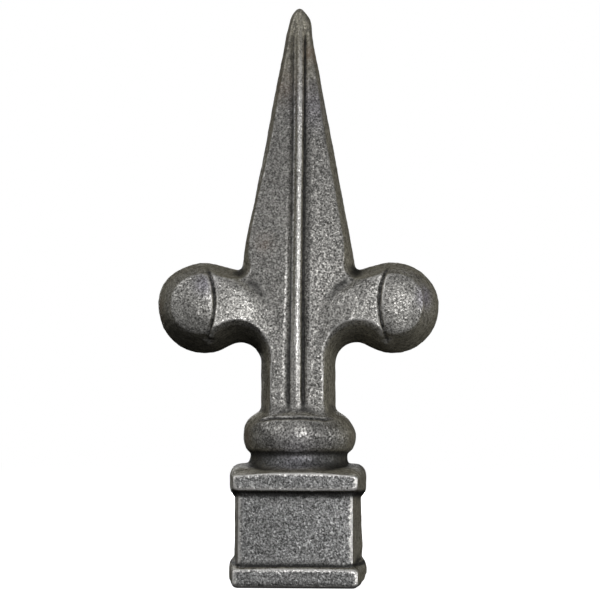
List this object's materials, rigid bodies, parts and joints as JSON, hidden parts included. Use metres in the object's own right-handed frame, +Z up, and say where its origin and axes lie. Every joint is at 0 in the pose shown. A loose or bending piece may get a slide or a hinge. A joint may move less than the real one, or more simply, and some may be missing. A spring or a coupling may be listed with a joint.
{
  "type": "spear finial",
  "caption": "Cast-iron spear finial with ball-ended arms, a turned ring and a square socket that slips over the top of a fence picket.",
  "frame": {"origin": "middle of the socket's underside, where the finial meets the picket", "axes": "+Z up along the picket to the spear's point, X across the two arms, -Y to the front"},
  "size_m": [0.0748, 0.036, 0.1547],
  "materials": {
    "cast_iron": "raw sand-cast iron, dull grey with a fine grain"
  },
  "bodies": {
    "root": {"finial": "cast_iron"}
  },
  "joints": []
}
